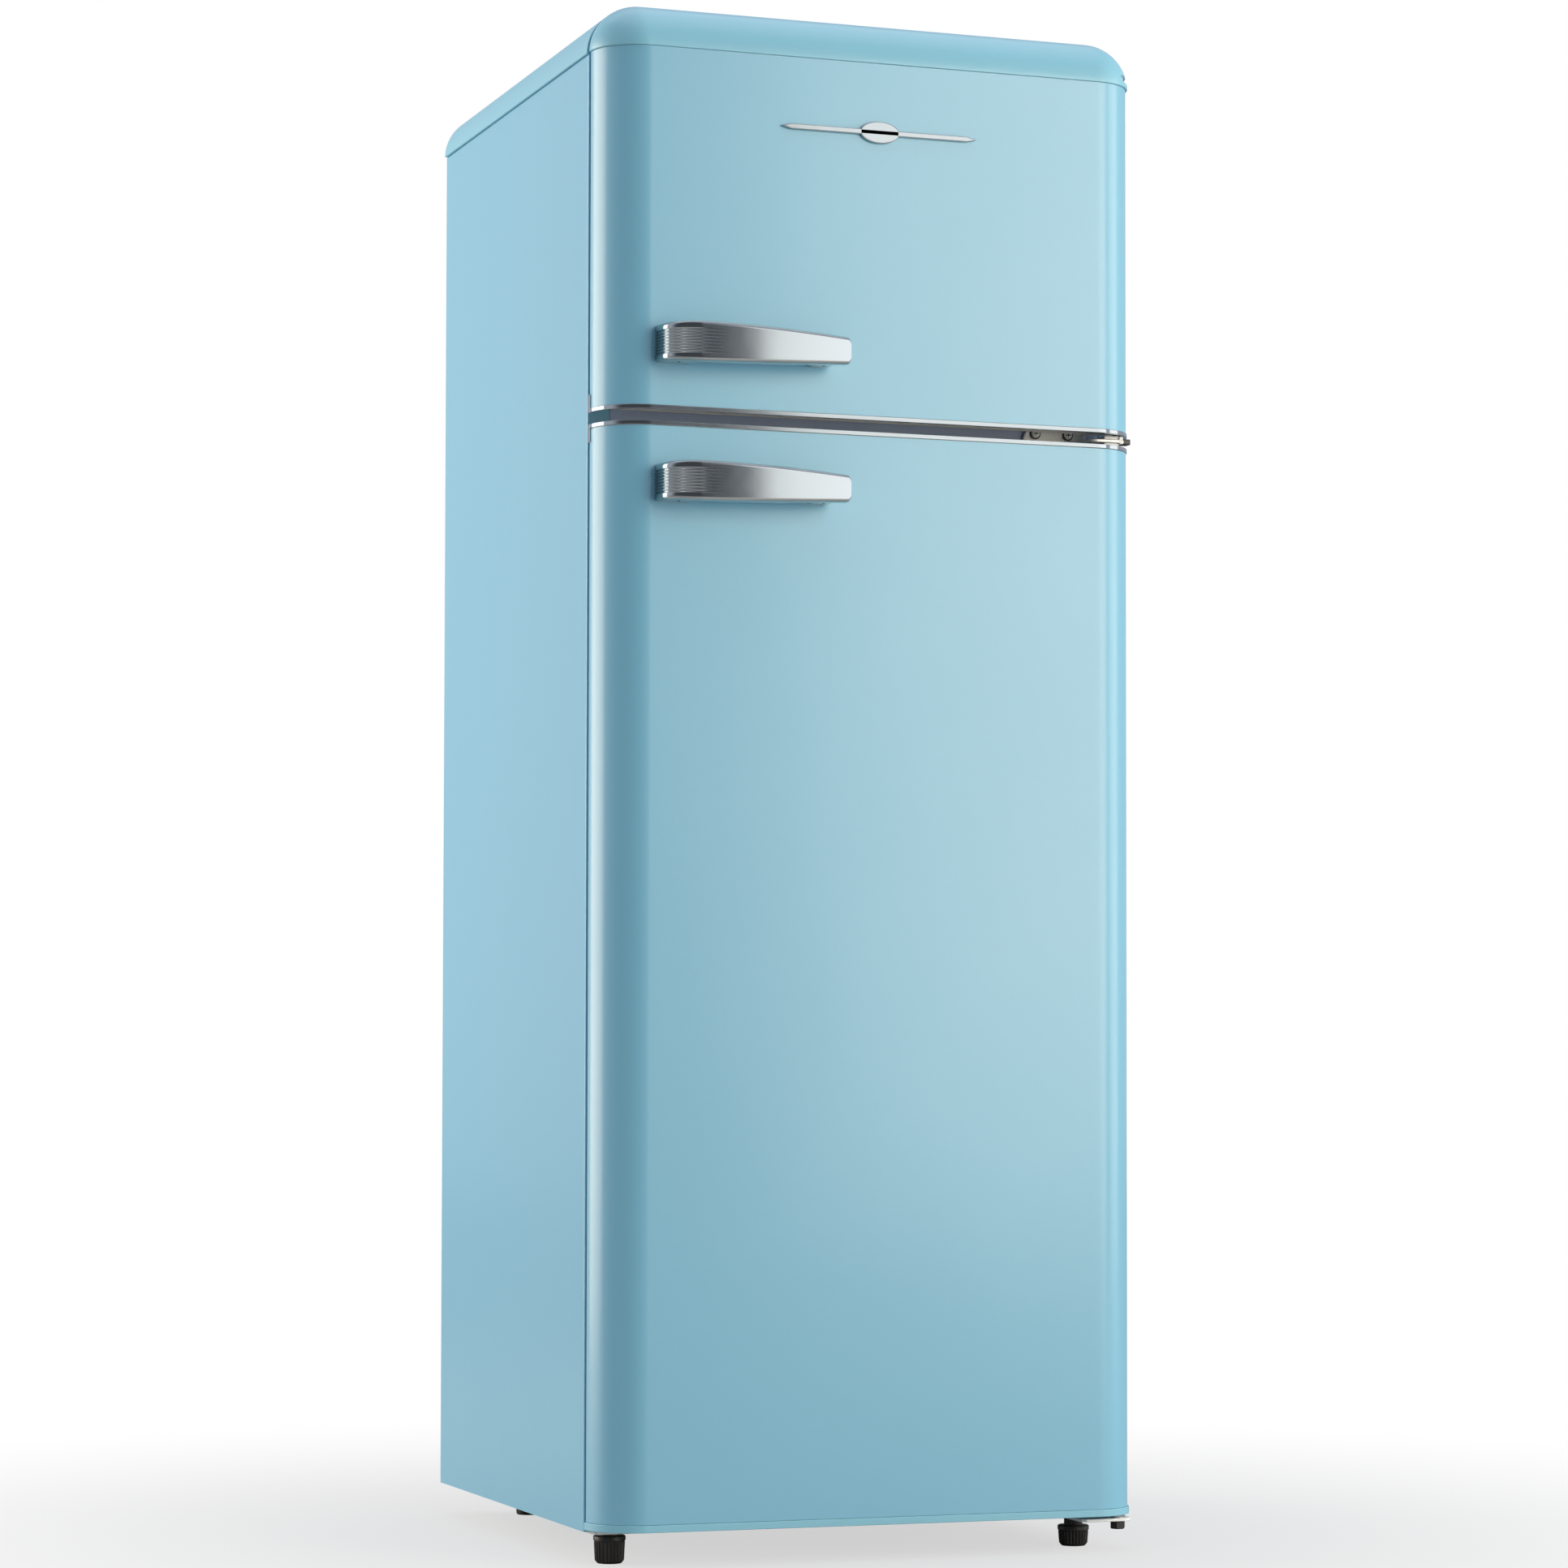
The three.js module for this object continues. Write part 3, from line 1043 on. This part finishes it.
// A plain bar with pointed ends and an oval at its middle.
function emblem() {
  const z = COVER_BOTTOM - EMBLEM_BELOW_CAP;
  const half = EMBLEM_LENGTH / 2;
  const tall = EMBLEM_HEIGHT / 2;
  const y = [DOOR_FRONT - GAP - EMBLEM_THICKNESS, DOOR_FRONT - GAP];
  const bar = front(outline([
    [-half, z], [-half + tall, z - tall / 4], [half - tall, z - tall / 4], [half, z],
    [half - tall, z + tall / 4], [-half + tall, z + tall / 4],
  ]), y);
  const oval = new THREE.Shape();
  oval.absellipse(0, z, tall * 1.9, tall, 0, Math.PI * 2);
  return join(bar, front(oval, y));
}
add('emblem', 'chrome', emblem());

// ---------------------------------------------------------------- fridge door
const bottomCapZ = [FRIDGE_DOOR_BOTTOM, FRIDGE_DOOR_BOTTOM + BOTTOM_CAP_HEIGHT];
const fridgeSkinZ = [bottomCapZ[1] + GAP, FRIDGE_DOOR_TOP - RIM_HEIGHT - GAP];
const fridgeDikeX = FRIDGE_SIDE - DIKE_CLEARANCE;
const fridgeDikeZ = [FRIDGE_FLOOR + DIKE_CLEARANCE, switchZ[0] - DIKE_CLEARANCE];
const fridgeBossZ = [fridgeCapZ[1] - CAP_BOSS_HEIGHT, fridgeCapZ[1]];
add('fridge_door_skin', 'bluePaint', doorSkin(fridgeSkinZ));
add('fridge_door_rim', 'chrome', doorRim(
  [FRIDGE_DOOR_TOP - RIM_HEIGHT, FRIDGE_DOOR_TOP],
  [FRIDGE_DOOR_TOP - TAB_HEIGHT, FRIDGE_DOOR_TOP],
));
add('fridge_door_top_cap', 'greyPlastic', endCap(fridgeCapZ, fridgeBossZ));
const switchPad = box(
  around(switchX, SWITCH_SIZE / 2),
  [DOOR_LINER_FRONT, padFace],
  around(middle(switchZ), SWITCH_SIZE / 2),
);
add('fridge_door_liner', 'whitePlastic', join(
  doorLiner(fridgeSkinZ, fridgeDikeX, fridgeDikeZ),
  switchPad,
));
add('fridge_gasket', 'gasket', gasket([
  FRIDGE_FLOOR - LINER - 2 - GASKET_WIDTH,
  CROSSRAIL_BOTTOM + 1 + GASKET_WIDTH,
]));

function fridgeBottomCap() {
  const slab = doorSlab(-CAP_PROUD, -CAP_PROUD_FRONT, DOOR_REAR, bottomCapZ);
  const well = doorSlab(BOTTOM_CAP_WALL, BOTTOM_CAP_WALL, DOOR_REAR - BOTTOM_CAP_WALL,
    [bottomCapZ[0] + PLASTIC, bottomCapZ[1] + 1],
  );
  return cut(join(cut(slab, well), pinAt(bottomCapZ, CAP_BOSS)), bearing(grow(bottomCapZ, 1)));
}
add('fridge_door_bottom_cap', 'bluePlastic', fridgeBottomCap());
add('fridge_door_foam', 'foam', cut(
  doorFoam([bottomCapZ[1] + GAP, fridgeCapZ[0] - GAP], fridgeDikeX, fridgeDikeZ),
  pinAt(grow(fridgeBossZ, GAP), CAP_BOSS + GAP),
));
add('fridge_handle', 'chrome', handle(FRIDGE_DOOR_TOP - HANDLE_BELOW_RIM));
for (const [name, level, height] of FRIDGE_RACKS) {
  const z = FRIDGE_FLOOR + level;
  add(`fridge_rack_${name}`, 'clearPlastic', rack(fridgeDikeX, [z, z + height], RACK_DEPTH));
}

export default group;
